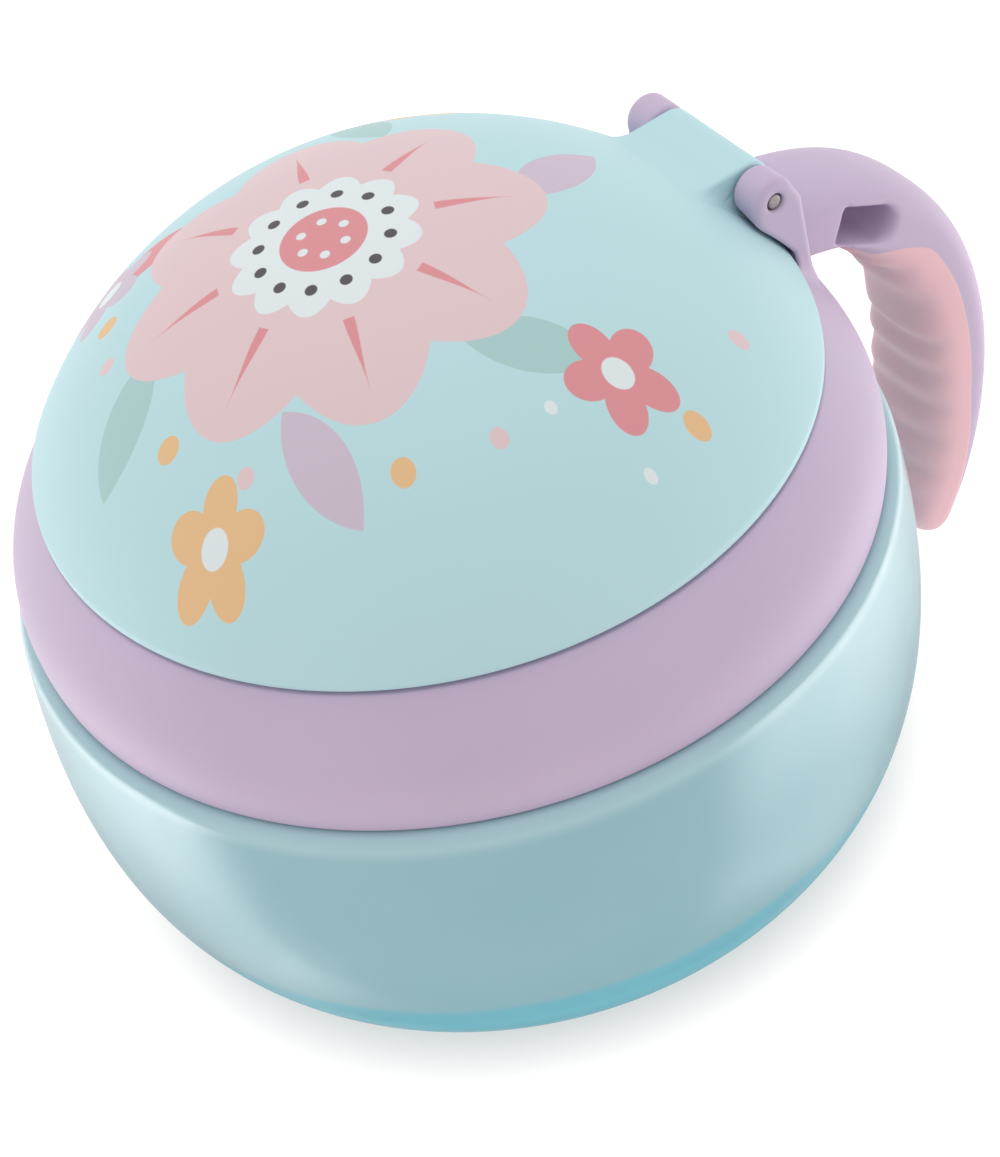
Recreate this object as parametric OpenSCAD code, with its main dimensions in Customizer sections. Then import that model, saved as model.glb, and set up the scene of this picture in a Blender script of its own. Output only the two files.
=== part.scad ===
// Toddler snack container: a screw-collar cup with a soft flap mouth,
// a hinged dome cover and a soft-grip handle.
// Millimetres. +Z is up, the floor is z = 0, the origin is the centre of the
// cup's base, and +Y points to the hinge and the handle.

/* [Cup] */
// Radius of the flat that the cup stands on
cup_foot_r = 41.4; // [38:0.1:43]
// Radius of the rounded heel between the foot and the wall
cup_heel_r = 5.2; // [4:0.1:7]
// Step of the cup's shoulder out past the collar's lower edge
cup_shoulder_step = 1.8; // [0.8:0.1:4]
// How far the wall swells past the shoulder, at the curve's control point
cup_swell = 2.6; // [0:0.1:4]
// Height of the shoulder that the collar closes down to
cup_shoulder_z = 44.7; // [38:0.1:60]
// Rounding of the shoulder's outer corner
cup_shoulder_round = 1.7; // [0.8:0.1:2.5]
// Wall thickness of the cup
cup_wall = 1.9; // [1.4:0.1:2.6]
// Thickness of the cup's floor
cup_floor = 3; // [2:0.1:5]
// Height of the threaded neck above the shoulder
neck_h = 11.3; // [10.5:0.1:14]
// Outer radius of the neck
neck_r = 47.4; // [43:0.1:52]
// Wall thickness of the neck
neck_wall = 2; // [1.4:0.1:3]

/* [Thread] */
// Radial height of the thread ridges
thread_h = 1.2; // [0.8:0.1:1.4]
// Axial width of a ridge at its root
thread_w = 2.2; // [1.4:0.1:2.6]
// Rise of the collar in one full turn
thread_lead = 18; // [15:0.5:20]
// Arc that each ridge covers, in degrees
thread_span = 105; // [80:1:112]
// Radial clearance between a ridge and the wall that it faces
thread_clear = 0.6; // [0.3:0.1:0.7]

/* [Collar] */
// Wall thickness of the collar's lower edge
collar_wall = 2.8; // [2.2:0.1:4]
// Height of the collar's outer band
collar_h = 16.3; // [15.5:0.1:19]
// How far the collar's top edge lies inside the neck's outer face
collar_top_inset = 0.5; // [0:0.1:0.8]
// Width of the collar's top edge
collar_lip = 1.4; // [1:0.1:1.8]
// Gap between the cup's shoulder and the collar's lower edge
collar_foot_gap = 0.3; // [0.2:0.1:0.6]
// Width of the plate round the mouth, inside the recess
mouth_ledge = 6.5; // [4.5:0.1:7]
// Thickness of the plate round the mouth
mouth_plate_t = 1.75; // [1.2:0.05:2.2]

/* [Flap insert] */
// Thickness of the soft insert's flange
flange_t = 1.5; // [1:0.1:2]
// Thickness of the soft flaps
flap_t = 1.2; // [0.8:0.1:1.5]
// Distance of each flap's bending line in from the mouth's edge
flap_ledge = 6.5; // [4.5:0.1:9]
// Width of the slit between two flaps
slit_w = 0.5; // [0.3:0.1:1]
// Clearance between the flaps' roots and the flange
flap_clear = 0.3; // [0.2:0.05:0.5]
// Gap between the insert and the hard parts that it seats against
insert_gap = 0.15; // [0.1:0.05:0.3]
// Height of the rib that centres the insert in the mouth
insert_rib_h = 1; // [0.5:0.1:1.6]

/* [Cover] */
// How far the cover's rim stands out past the collar's top edge
cover_overhang = 0.1; // [-0.1:0.05:0.6]
// Radius of the sphere that the dome is part of
dome_r = 54.4; // [52:0.1:70]
// Wall thickness of the cover
cover_wall = 1.8; // [1.4:0.1:2.4]
// Height of the cover's upright edge below the dome
cover_edge_h = 0.95; // [0.6:0.05:2]
// Shadow gap between the cover's edge and the collar
cover_gap = 0.6; // [0.5:0.05:1]
// Gap between the cover's skirt and the collar's recess
skirt_gap = 0.5; // [0.3:0.05:1]
// Wall thickness of the skirt
skirt_wall = 1.4; // [1:0.1:2]
// Depth of the skirt below the cover's edge
skirt_drop = 1.8; // [1.2:0.1:1.9]

/* [Hinge] */
// Distance of the hinge axis in from the cover's rim
hinge_inset = 2.8; // [2.5:0.1:3.4]
// Height of the hinge axis above the collar's top edge
hinge_rise = 10.4; // [10:0.1:12]
// Outer radius of the knuckle and of the ears' round tops
barrel_r = 3; // [2.4:0.1:3.2]
// Width of the cover's knuckle
knuckle_w = 15.8; // [12:0.1:18]
// Width of each ear along the axis
ear_w = 4.75; // [3.5:0.05:6]
// Side gap between the knuckle and each ear
ear_gap = 0.25; // [0.15:0.05:0.5]
// Flare of each ear's foot, away from the cover
ear_flare = 1.6; // [0.6:0.1:1.8]
// Clearance between the ears and the dome
ear_dome_clear = 0.5; // [0.3:0.05:0.9]
// Radius of the steel hinge pin
pin_r = 1; // [0.8:0.05:1.3]
// Running clearance of the pin in the knuckle
pin_run_clear = 0.05; // [0.02:0.01:0.1]
// How far the pin's ends sit inside the ears' outer faces
pin_recess = 0.3; // [0:0.1:1]

/* [Handle] */
// Width of the handle across X
handle_w = 16; // [12:0.5:18]
// How much wider the handle is at its tip
handle_flare = 0.6; // [0:0.1:3]
// Depth over which the handle's outer face rounds into its sides
handle_crown = 4; // [2.5:0.1:4.2]
// Depth over which the grip's face rounds into the handle's sides
handle_palm = 4; // [2.5:0.1:4.2]
// Reach of the handle beyond the collar's lower edge
handle_reach = 25.2; // [21:0.1:30]
// Height of the handle's root above the collar's top edge
handle_root_rise = 4.3; // [3:0.1:5]
// Drop from the handle's root to where it reaches out furthest
handle_drop = 32.6; // [26:0.1:36]
// Height of the handle's lower tip above the floor
handle_tip_z = 2.6; // [2.4:0.1:12]
// How far the lower tip turns back towards the cup
handle_tuck = 9.6; // [6:0.1:14]
// Thickness of the handle at its root
handle_root_t = 8.5; // [8:0.1:9.5]
// Thickness of the handle at the bend, round the strap slot
handle_bend_t = 10.9; // [9.5:0.1:12]
// Thickness of the handle at the grip
handle_grip_t = 10.2; // [9:0.1:11]
// Thickness of the handle at its tip
handle_tip_t = 8.6; // [8.4:0.1:10]
// Length of the slot for a strap
slot_l = 10; // [6:0.1:10.5]
// Height of the slot for a strap
slot_h = 4.9; // [3.5:0.1:5.1]
// Corner radius of the strap slot
slot_round = 1; // [0.5:0.1:1.7]
// Wall between the strap slot and the handle's outer face
slot_wall = 2.6; // [1.6:0.1:2.8]
// Number of finger ribs on the soft grip
rib_count = 9; // [5:1:12]
// Height of the finger ribs
rib_h = 0.55; // [0.2:0.05:0.9]

/* [Hidden] */

$fn = 96;
eps = 0.01;

// Colours
aqua_clear = [0.55, 0.76, 0.80, 0.8];
aqua = [0.68, 0.84, 0.86];
lilac = [0.79, 0.73, 0.82];
pink = [0.88, 0.76, 0.79];
mint_soft = [0.82, 0.90, 0.88];
steel = [0.62, 0.60, 0.60];

// Radii, from the neck out to the shoulder and in to the flaps
collar_bore_r = neck_r + thread_h + thread_clear;
collar_foot_r = collar_bore_r + collar_wall;
cup_shoulder_r = collar_foot_r + cup_shoulder_step;
collar_top_r = neck_r - collar_top_inset;
recess_r = collar_top_r - collar_lip;
mouth_r = recess_r - mouth_ledge;
flap_root_r = mouth_r - flap_ledge;
cover_r = collar_top_r + cover_overhang;
skirt_r = recess_r - skirt_gap;

// Heights, from the floor up
rim_z = cup_shoulder_z + neck_h;
collar_z = cup_shoulder_z + collar_foot_gap;
collar_top_z = collar_z + collar_h;
flange_z = rim_z + insert_gap;
plate_z = flange_z + flange_t + insert_gap;
plate_top_z = plate_z + mouth_plate_t;
cover_z = collar_top_z + cover_gap;

// Cup wall: it leaves the heel's arc along the arc's own direction
heel_turn = 42;
heel_way = [sin(heel_turn), cos(heel_turn)];
wall_from = [cup_foot_r + cup_heel_r * cos(heel_turn), cup_heel_r * (1 - sin(heel_turn))];
wall_via = wall_from + heel_way * (cup_shoulder_r + cup_swell - wall_from[0]) / heel_way[0];
wall_to = [cup_shoulder_r, cup_shoulder_z - cup_shoulder_round];
wall_steps = 18;
bore_heel_at = 0.18;
bore_heel_l = 6;

// Thread
thread_starts = 3;
thread_sink = 0.3;
thread_crest_w = thread_w * 0.45;
thread_step = 5;
thread_taper = 12;
thread_z = cup_shoulder_z + 2.8;

// Collar band: a curve through these control points
band_from = [collar_foot_r, collar_z];
band_low = [collar_foot_r + 1.75, collar_z + collar_h * 0.44];
band_high = [collar_top_r + 4.2, collar_top_z - 6];
band_to = [collar_top_r, collar_top_z];
band_steps = 16;

// Flap insert
flap_count = 8;
flap_angle = 360 / flap_count;
flange_r = collar_bore_r - insert_gap - thread_clear;
flap_mid_z = flange_z + flange_t / 2;
opening_r = flap_root_r + flap_t / 2 + flap_clear;
insert_rib_w = 0.9;

// Cover: the dome's centre puts its surface at the top of the upright edge
dome_z = cover_z + cover_edge_h - sqrt(dome_r * dome_r - cover_r * cover_r);
dome_inner_r = dome_r - cover_wall;

// Hinge
hinge_y = cover_r - hinge_inset;
hinge_z = collar_top_z + hinge_rise;
ear_in = knuckle_w / 2 + ear_gap;
ear_out = ear_in + ear_w;
pin_half = ear_out - pin_recess;

// Handle: two curves for the outer face in the Y-Z plane, root to crest to
// tip. Each pull sets a control point out from the point that it is added to.
root_sink = 2;
root_pull = [13, -2.4];
crest_pull_up = [-1.2, 26.5];
crest_pull_down = [0.4, -10.5];
tip_pull = [6, 7.4];
root_at = [cover_r - root_sink, collar_top_z + handle_root_rise];
crest_at = [collar_foot_r + handle_reach, root_at[1] - handle_drop];
tip_at = [crest_at[0] - handle_tuck, handle_tip_z];
curve_root = [root_at, root_at + root_pull, crest_at + crest_pull_up, crest_at];
curve_tip = [crest_at, crest_at + crest_pull_down, tip_at + tip_pull, tip_at];
root_steps = 10;
tip_steps = 4;
tip_turn = 75;
tip_narrow = 0.15;
crown_power = 2.5;
crown_flat = 0.015;
slot_at = 0.212;
grip_from = 0.19;
grip_step = 0.004;
grip_skin = 0.35;
section_steps = 10;
stations_per_rib = 6;
// Share of the handle's thickness that is soft grip, along the handle
grip_share = [[0.19, 0], [0.25, 0.1], [0.31, 0.33], [0.37, 0.52], [0.45, 0.55], [0.7, 0.57],
              [0.8, 0.64], [0.92, 0.72], [1, 0.78]];
// Depth of the rounding on the fingers' side: small edges at the root, the palm's from the bend
palm_round = [[0, 1.2], [0.2, 1.4], [0.3, handle_palm], [1, handle_palm]];

// ---- Curves ----

function bezier2(a, b, c, t) = (1 - t) * (1 - t) * a + 2 * t * (1 - t) * b + t * t * c;

function bezier3(p, t) =
    pow(1 - t, 3) * p[0] + 3 * t * pow(1 - t, 2) * p[1]
    + 3 * t * t * (1 - t) * p[2] + pow(t, 3) * p[3];

function bezier3_slope(p, t) =
    3 * (pow(1 - t, 2) * (p[1] - p[0]) + 2 * t * (1 - t) * (p[2] - p[1])
    + t * t * (p[3] - p[2]));

function arc(centre, r, from, to, steps) =
    [for (i = [0:steps]) centre + r * [cos(from + (to - from) * i / steps),
                                       sin(from + (to - from) * i / steps)]];

function ease(x) = let (c = min(1, max(0, x))) c * c * (3 - 2 * c);

function ease_between(u, from, to, a, b) = a + (b - a) * ease((u - from) / (to - from));

// ---- Cup ----

function cup_outline() = concat(
    [[0, 0]],
    arc([cup_foot_r, cup_heel_r], cup_heel_r, -90, -heel_turn, 6),
    [for (i = [1:wall_steps]) bezier2(wall_from, wall_via, wall_to, i / wall_steps)],
    arc([cup_shoulder_r - cup_shoulder_round, cup_shoulder_z - cup_shoulder_round],
        cup_shoulder_round, 0, 90, 6),
    [[neck_r, cup_shoulder_z], [neck_r, rim_z], [0, rim_z]]);

// Direction of the outer wall, and the inner wall one thickness inside it
function wall_way(t) =
    let (s = (1 - t) * (wall_via - wall_from) + t * (wall_to - wall_via)) s / norm(s);

function inner_wall(t) =
    let (s = wall_way(t)) bezier2(wall_from, wall_via, wall_to, t) + cup_wall * [-s[1], s[0]];

function cup_hollow() =
    let (low = inner_wall(bore_heel_at), way = wall_way(bore_heel_at),
         corner = low - way * (low[1] - cup_floor) / way[1])
    concat(
        [[0, cup_floor]],
        [for (i = [0:5]) bezier2(corner - [bore_heel_l, 0], corner, low, i / 6)],
        [for (i = [0:wall_steps]) inner_wall(bore_heel_at + (0.96 - bore_heel_at) * i / wall_steps)],
        [[neck_r - neck_wall, cup_shoulder_z - cup_wall * 0.6],
         [neck_r - neck_wall, rim_z + 1], [0, rim_z + 1]]);

// One helical ridge. Its root lies at root_r and its crest dir * thread_h away.
module thread_ridge(root_r, dir, start) {
    steps = ceil(thread_span / thread_step);
    function height(a) = thread_h * ease(min(a, thread_span - a) / thread_taper + 0.15);
    rings = [for (i = [0:steps])
        let (a = thread_span * i / steps, z = thread_z + thread_lead * a / 360,
             at = start + a, tip = root_r + dir * height(a), base = root_r - dir * thread_sink)
        [for (p = [[base, -thread_w / 2], [tip, -thread_crest_w / 2],
                   [tip, thread_crest_w / 2], [base, thread_w / 2]])
            [p[0] * cos(at), p[0] * sin(at), z + p[1]]]];
    skin(rings, dir < 0);
}

// A solid through rings of points: side triangles and two end caps
module skin(rings, flip = false) {
    m = len(rings[0]);
    n = len(rings);
    points = [for (ring = rings) each ring];
    sides = [for (i = [0:n - 2], j = [0:m - 1])
        let (a = i * m + j, b = i * m + (j + 1) % m, c = a + m, d = b + m)
        each [[a, b, d], [a, d, c]]];
    caps = [[for (j = [m - 1:-1:0]) j], [for (j = [0:m - 1]) (n - 1) * m + j]];
    faces = concat(sides, caps);
    polyhedron(points, flip ? [for (f = faces) [for (k = [len(f) - 1:-1:0]) f[k]]] : faces);
}

module cup() {
    color(aqua_clear) {
        difference() {
            rotate_extrude() polygon(cup_outline());
            rotate_extrude() polygon(cup_hollow());
        }
        for (i = [0:thread_starts - 1])
            thread_ridge(neck_r, 1, i * 360 / thread_starts);
    }
}

// ---- Flap insert ----

module flap_ring() {
    color(mint_soft) {
        difference() {
            translate([0, 0, flange_z]) cylinder(r = flange_r, h = flange_t);
            rotate(flap_angle / 2)
                translate([0, 0, flange_z - 1])
                    cylinder(r = opening_r / cos(flap_angle / 2), h = flange_t + 2, $fn = flap_count);
        }
        translate([0, 0, flange_z])
            rotate_extrude()
                translate([mouth_r - insert_gap - insert_rib_w, flange_t / 2])
                    square([insert_rib_w, flange_t / 2 + insert_gap + insert_rib_h]);
    }
}

// One soft flap: a wedge with a round root that it bends about
module flap(index) {
    half = flap_angle / 2;
    tip_x = slit_w / 2 / sin(half);
    root_half = (flap_root_r - tip_x) * tan(half);
    color(mint_soft)
        rotate(index * flap_angle)
            translate([0, 0, flap_mid_z]) {
                translate([0, 0, -flap_t / 2])
                    linear_extrude(flap_t)
                        polygon([[tip_x, 0], [flap_root_r, -root_half], [flap_root_r, root_half]]);
                translate([flap_root_r, root_half, 0])
                    rotate([90, 0, 0])
                        cylinder(r = flap_t / 2, h = 2 * root_half, $fn = 32);
            }
}

// ---- Collar ----

function band_outline() =
    [for (i = [0:band_steps]) bezier3([band_from, band_low, band_high, band_to], i / band_steps)];

function collar_outline() = concat(
    band_outline(),
    [[recess_r, collar_top_z], [recess_r, plate_top_z], [mouth_r, plate_top_z], [mouth_r, plate_z],
     [collar_bore_r, plate_z], [collar_bore_r, collar_z]]);

// The room that the closed cover takes up, grown by the given clearance
module cover_room(clear) {
    intersection() {
        translate([0, 0, dome_z]) sphere(r = dome_r + clear, $fn = 160);
        translate([0, 0, collar_top_z]) cylinder(r = cover_r + clear, h = dome_r);
    }
}

// A hinge ear: an upright tab with a round top and a flared foot in the band
module ear(side) {
    difference() {
        translate([side > 0 ? ear_in : -ear_out, 0, 0])
            rotate([90, 0, 90])
                linear_extrude(ear_w) {
                    translate([hinge_y, hinge_z]) circle(r = barrel_r);
                    translate([hinge_y - barrel_r, plate_z])
                        square([2 * barrel_r, hinge_z - plate_z]);
                    translate([hinge_y + barrel_r, plate_z]) ear_flare_face();
                }
        cover_room(ear_dome_clear);
        translate([0, 0, plate_z - 1])
            cylinder(r = (recess_r + collar_top_r) / 2, h = collar_top_z - plate_z + 1);
        hinge_bore(pin_r);
    }
}

// The hollow curve that widens an ear's foot away from the cover
module ear_flare_face() {
    top = collar_top_z - plate_z + ear_flare;
    difference() {
        translate([-eps, 0]) square([ear_flare + eps, top]);
        translate([ear_flare, top]) circle(r = ear_flare);
    }
}

// A hole on the hinge axis, right across the hinge
module hinge_bore(r) {
    translate([-ear_out - 1, hinge_y, hinge_z])
        rotate([0, 90, 0])
            cylinder(r = r, h = 2 * ear_out + 2);
}

module collar() {
    color(lilac) {
        rotate_extrude() polygon(collar_outline());
        for (side = [-1, 1]) ear(side);
        for (i = [0:thread_starts - 1])
            thread_ridge(collar_bore_r, -1, (i + 0.5) * 360 / thread_starts);
    }
}

module hinge_pin() {
    color(steel)
        translate([-pin_half, hinge_y, hinge_z])
            rotate([0, 90, 0])
                cylinder(r = pin_r - eps, h = 2 * pin_half);
}

// ---- Cover ----

// The barrel round the pin, with a block under it and a bridge to the dome
module knuckle() {
    depth = hinge_y - sqrt(dome_r * dome_r - pow(hinge_z + barrel_r - dome_z, 2)) + cover_wall;
    translate([-knuckle_w / 2, hinge_y, hinge_z]) {
        rotate([0, 90, 0]) cylinder(r = barrel_r, h = knuckle_w);
        translate([0, -depth, 0]) cube([knuckle_w, depth, barrel_r]);
    }
    intersection() {
        translate([-knuckle_w / 2, hinge_y - depth, cover_z])
            cube([knuckle_w, depth + hinge_inset, hinge_z - cover_z]);
        translate([0, 0, cover_z]) cylinder(r = cover_r, h = dome_r);
    }
}

module cover() {
    color(aqua) {
        difference() {
            union() {
                intersection() {
                    translate([0, 0, dome_z]) sphere(r = dome_r, $fn = 160);
                    translate([0, 0, cover_z]) cylinder(r = cover_r, h = dome_r);
                }
                knuckle();
            }
            translate([0, 0, dome_z]) sphere(r = dome_inner_r, $fn = 160);
            hinge_bore(pin_r + pin_run_clear);
        }
        intersection() {
            translate([0, 0, cover_z - skirt_drop])
                difference() {
                    cylinder(r = skirt_r, h = dome_r);
                    translate([0, 0, -1]) cylinder(r = skirt_r - skirt_wall, h = dome_r + 2);
                }
            translate([0, 0, dome_z]) sphere(r = dome_inner_r + cover_wall / 2, $fn = 160);
        }
    }
}

// ---- Handle ----

function outer_face(u) = u < 0.5 ? bezier3(curve_root, 2 * u) : bezier3(curve_tip, 2 * u - 1);

function outer_slope(u) =
    let (s = u < 0.5 ? bezier3_slope(curve_root, 2 * u) : bezier3_slope(curve_tip, 2 * u - 1))
    s / norm(s);

// From the outer face towards the fingers
function inward(u) = let (s = outer_slope(u)) [s[1], -s[0]];

function thickness(u) =
    u < 0.3 ? ease_between(u, 0.15, 0.3, handle_root_t, handle_bend_t)
    : u < 0.54 ? ease_between(u, 0.3, 0.54, handle_bend_t, handle_grip_t)
    : ease_between(u, 0.54, 1, handle_grip_t, handle_tip_t);

function grip_depth(u) = max(grip_skin, thickness(u) * lookup(u, grip_share));

// Stations along the grip, which the strap under it shares
function grip_stations() =
    let (steps = rib_count * stations_per_rib)
    [for (i = [0:steps]) grip_from + (1 - grip_from) * i / steps];

function rib_rise(u) =
    rib_h * (0.5 - 0.5 * cos(360 * rib_count * (u - grip_from) / (1 - grip_from)));

// Half the handle's width at a depth from its inner face: both faces are crowned
function half_width(u, depth, t) =
    let (full = (handle_w + handle_flare * ease(2 * u - 1)) / 2,
         near = max(1 - depth / lookup(u, palm_round), 1 - (t - depth) / handle_crown, 0),
         level = min(near, 1 - crown_flat))
    full * pow(1 - pow(level, crown_power), 1 / crown_power);

// One cross-section between two depths from the inner face. round_end, in
// degrees, draws the section in and forward to round the handle's tip.
function section(u, low, high, bump, round_end) =
    let (t = thickness(u), away = -inward(u), inner = outer_face(u) - away * t,
         ahead = outer_slope(u) * sin(round_end) * t / 2,
         depths = [for (k = [0:section_steps]) low + (high - low) * ease(k / section_steps)],
         narrow = 1 - tip_narrow * (1 - cos(round_end)),
         rows = [for (d = depths)
             let (lift = bump * (1 - ease(d / max(eps, high) * 2)),
                  depth = t / 2 + (d - lift - t / 2) * cos(round_end),
                  at = inner + away * depth + ahead)
             [half_width(u, d, t) * narrow, at[0], at[1]]])
    concat([for (r = rows) r],
           [for (k = [len(rows) - 1:-1:0]) [-rows[k][0], rows[k][1], rows[k][2]]]);

module strap_sweep() {
    skin(concat(
        [for (i = [0:root_steps]) let (u = (grip_from - grip_step) * i / root_steps)
            section(u, 0, thickness(u), 0, 0)],
        [for (u = grip_stations()) section(u, grip_depth(u), thickness(u), 0, 0)],
        [for (i = [1:tip_steps])
            section(1, grip_depth(1), thickness(1), 0, tip_turn * i / tip_steps)]));
}

module strap_slot() {
    slope = outer_slope(slot_at);
    centre = outer_face(slot_at) + inward(slot_at) * (slot_wall + slot_h / 2);
    translate([-handle_w, centre[0], centre[1]])
        rotate([90, 0, 90])
            rotate(atan2(slope[1], slope[0])) {
                translate([-slot_l / 2 + slot_round, -slot_h / 2])
                    linear_extrude(2 * handle_w) square([slot_l - 2 * slot_round, slot_h]);
                translate([-slot_l / 2, -slot_h / 2 + slot_round])
                    linear_extrude(2 * handle_w) square([slot_l, slot_h - 2 * slot_round]);
                for (x = [-1, 1], y = [-1, 1])
                    translate([x * (slot_l / 2 - slot_round), y * (slot_h / 2 - slot_round)])
                        cylinder(r = slot_round, h = 2 * handle_w, $fn = 32);
            }
}

module handle() {
    color(lilac)
        difference() {
            strap_sweep();
            strap_slot();
            rotate_extrude() polygon(concat([[0, collar_z]], band_outline(), [[0, collar_top_z]]));
            translate([0, 0, collar_top_z - eps]) cylinder(r = cover_r + ear_dome_clear, h = dome_r);
        }
}

module handle_grip() {
    color(pink)
        skin(concat(
            [for (u = grip_stations()) section(u, 0, grip_depth(u), rib_rise(u), 0)],
            [for (i = [1:tip_steps])
                section(1, 0, grip_depth(1), 0, tip_turn * i / tip_steps)]));
}

cup();
flap_ring();
flap(0);  // flap_1
flap(1);  // flap_2
flap(2);  // flap_3
flap(3);  // flap_4
flap(4);  // flap_5
flap(5);  // flap_6
flap(6);  // flap_7
flap(7);  // flap_8
collar();
handle();
handle_grip();
hinge_pin();
cover();
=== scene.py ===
import math

import bmesh
import bpy
import numpy as np
import openvdb
from mathutils import Matrix, Vector


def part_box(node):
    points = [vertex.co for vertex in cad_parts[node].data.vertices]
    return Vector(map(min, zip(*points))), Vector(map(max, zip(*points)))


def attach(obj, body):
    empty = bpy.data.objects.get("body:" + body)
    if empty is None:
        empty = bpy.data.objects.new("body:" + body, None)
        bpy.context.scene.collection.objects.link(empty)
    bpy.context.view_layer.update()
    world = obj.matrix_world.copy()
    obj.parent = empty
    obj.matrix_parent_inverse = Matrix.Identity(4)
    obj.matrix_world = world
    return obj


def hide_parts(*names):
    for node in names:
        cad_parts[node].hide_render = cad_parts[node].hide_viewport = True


# The looks of the toddler snack container. The geometry works in millimetres, in
# the frame of the CAD model, and becomes metres in add_piece(). Y points towards
# the handle and Z up.

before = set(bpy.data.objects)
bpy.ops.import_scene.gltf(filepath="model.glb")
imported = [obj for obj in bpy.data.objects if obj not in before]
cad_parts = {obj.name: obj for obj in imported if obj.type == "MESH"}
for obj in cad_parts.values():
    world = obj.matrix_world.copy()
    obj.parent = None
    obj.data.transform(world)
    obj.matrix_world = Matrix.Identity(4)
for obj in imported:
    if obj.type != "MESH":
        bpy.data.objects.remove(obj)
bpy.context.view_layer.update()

MM = 0.001


# ---- Sizes, from the frame where it gives them ----

def box_mm(node):
    """The lowest and highest corner of a CAD node, in millimetres."""
    low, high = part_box(node)
    return np.array(low) / MM, np.array(high) / MM


cup_high = box_mm("cup")[1]
collar_low = box_mm("collar")[0]
cover_low, cover_high = box_mm("cover")
pin_low, pin_high = box_mm("hinge_pin")
ring_low, ring_high = box_mm("flap_ring")

# Cup
SHOULDER_R = 53.8
RIM_Z = cup_high[2]
FOOT_R = 41.4
HEEL_R = 5.2
HEEL_TURN = 42
CUP_SWELL = 2.6
CUP_WALL = 1.9
CUP_FLOOR = 3.0
CUP_EDGE = 0.5
SHOULDER_Z = 44.7
SHOULDER_ROUND = 1.7
NECK_R = 47.4
NECK_WALL = 2.0

# Threads
THREAD_H = 1.2
THREAD_W = 2.2
THREAD_LEAD = 18
THREAD_SPAN = 105
THREAD_Z = SHOULDER_Z + 2.8
THREAD_STARTS = 3
THREAD_RUN_IN = 12
# Section of a ridge, in shares of its height and its width
THREAD_SECTION = [(-0.3, -0.5), (0.7, -0.34), (1, -0.2), (1, 0.2), (0.7, 0.34), (-0.3, 0.5)]

# Collar
COLLAR_Z = collar_low[2]
COLLAR_H = 16.3
COLLAR_TOP_Z = COLLAR_Z + COLLAR_H
COLLAR_FOOT_R = 52.0
COLLAR_TOP_R = 46.9
COLLAR_EDGE = 0.35
BAND_LOW_OUT, BAND_LOW_AT = 1.75, 0.44
BAND_HIGH_OUT, BAND_HIGH_DROP = 4.2, 6
BORE_R = 49.2
RECESS_R = 45.5
MOUTH_R = 39.0
PLATE_Z = 57.8
PLATE_T = 1.75

# Cover
COVER_R = cover_high[0]
APEX_Z = cover_high[2]
COVER_Z = COLLAR_TOP_Z + 0.6
COVER_EDGE_H = 0.95
COVER_EDGE = 0.4
COVER_WALL = 1.8
DOME_R = 54.4
DOME_Z = APEX_Z - DOME_R
SKIRT_R = 45.0
SKIRT_WALL = 1.4
SKIRT_Z = cover_low[2]

# Hinge
HINGE_Y = (pin_low[1] + pin_high[1]) / 2
HINGE_Z = (pin_low[2] + pin_high[2]) / 2
PIN_R = (pin_high[2] - pin_low[2]) / 2
PIN_HALF = pin_high[0]
PIN_EDGE = 0.25
PIN_SEGMENTS = 48
BARREL_R = 3.0
KNUCKLE_W = 15.8
KNUCKLE_EDGE = 0.45
KNUCKLE_FILLET = 1.6
KNUCKLE_PIN_GAP = 0.05
KNUCKLE_ROOM_GAP = 0.35
EAR_IN = 8.15
EAR_W = 4.75
EAR_EDGE = 0.9
EAR_HEEL = 0.9
EAR_FILLET = 2.0
EAR_DOME_GAP = 0.5
EAR_PIN_GAP = 0.18

# Handle
HANDLE_W = 16.0
HANDLE_FLARE = 0.6
HANDLE_ROUND = 4.0
# Power of the superellipse that the handle's section follows
HANDLE_SQUARE = 2.5
# Each change of thickness: where it starts, its length, and from what by how much
ROOT_SWELL = (0.15, 0.15, 8.5, 2.4)
BEND_THINS = (0.3, 0.24, 10.9, -0.7)
GRIP_THINS = (0.54, 0.46, 10.2, -1.6)
TIP_BLUNT = 2.4
STRAP_FROM_Y = 46
STRAP_FILLET = 1.2
STRAP_SHRINK = 0.03
ROOT_AT = np.array([45.0, 65.6])
CREST_AT = np.array([77.2, 33.0])
TIP_AT = np.array([67.6, 2.6])
ROOT_PULL, TIP_PULL = [13, -2.4], [6, 7.4]
CREST_PULL_UP, CREST_PULL_DOWN = [-1.2, 26.5], [0.4, -10.5]
GRIP_FROM = 0.19
# The soft grip's share of the thickness, at places along the handle
GRIP_AT = [0.19, 0.25, 0.31, 0.37, 0.45, 0.7, 0.8, 0.92, 1]
GRIP_SHARE = [0, 0.1, 0.33, 0.52, 0.55, 0.57, 0.64, 0.72, 0.78]
GRIP_LEAST = 0.35
GRIP_SUNK = 0.8
RIB_COUNT = 9
RIB_H = 0.7
# The strap slot: its place along the handle, length and height
SLOT_U = 0.205
SLOT = np.array([8.8, 4.9])
SLOT_WALL = 2.7
SLOT_ROUND = 0.9
SLOT_ROUND_FAR = 2.3

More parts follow.
